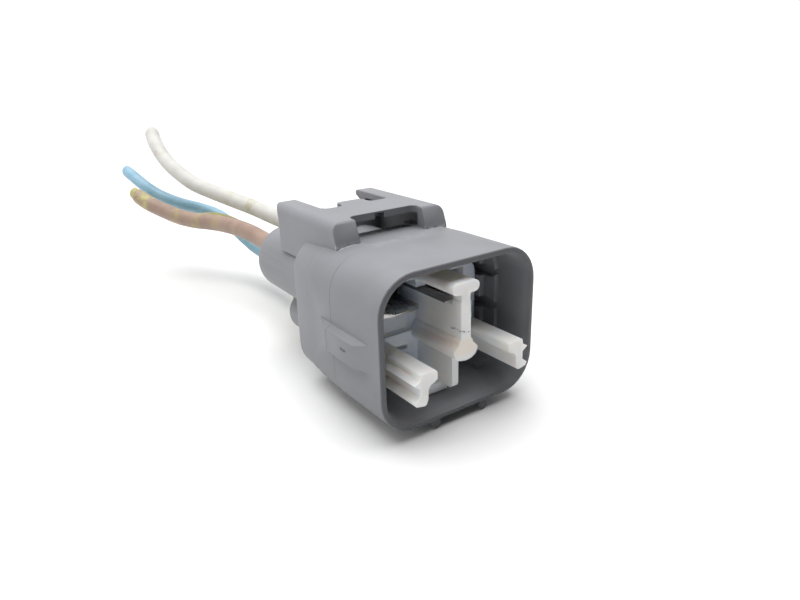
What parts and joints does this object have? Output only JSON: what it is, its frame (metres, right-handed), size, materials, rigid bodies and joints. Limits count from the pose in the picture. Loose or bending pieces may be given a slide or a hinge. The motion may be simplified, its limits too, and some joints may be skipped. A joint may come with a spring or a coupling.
{
  "type": "sealed automotive connector",
  "caption": "Sealed rectangular wire-to-wire connector, pin half: shroud with latch guard, white front holder, flat blades, and round seal towers with short cut coloured wires.",
  "frame": {"origin": "middle of the base: midway along the part's length without its wires, on the plane that the keel ribs stand on", "axes": "+Y from the open mouth to the wires, +Z from the keel ribs to the latch guard, +X to the right seen from the open mouth"},
  "size_m": [0.0409, 0.1506, 0.042],
  "materials": {
    "housing": "satin",
    "holder": "satin",
    "blade": "satin",
    "strand": "satin",
    "seal": "matte",
    "wire_brown": "satin",
    "wire_white": "satin",
    "wire_yellow": "satin",
    "wire_blue": "satin"
  },
  "bodies": {
    "root": {"housing": "housing", "front_holder": "holder", "power_terminal_left": "blade", "signal_terminal_left": "blade", "power_seal_left": "seal", "signal_seal_left": "seal", "power_terminal_right": "blade", "signal_terminal_right": "blade", "power_seal_right": "seal", "signal_seal_right": "seal", "wire_brown": "wire_brown", "strands_brown": "strand", "wire_white": "wire_white", "strands_white": "strand", "wire_yellow": "wire_yellow", "strands_yellow": "strand", "wire_blue": "wire_blue", "strands_blue": "strand"}
  },
  "joints": []
}
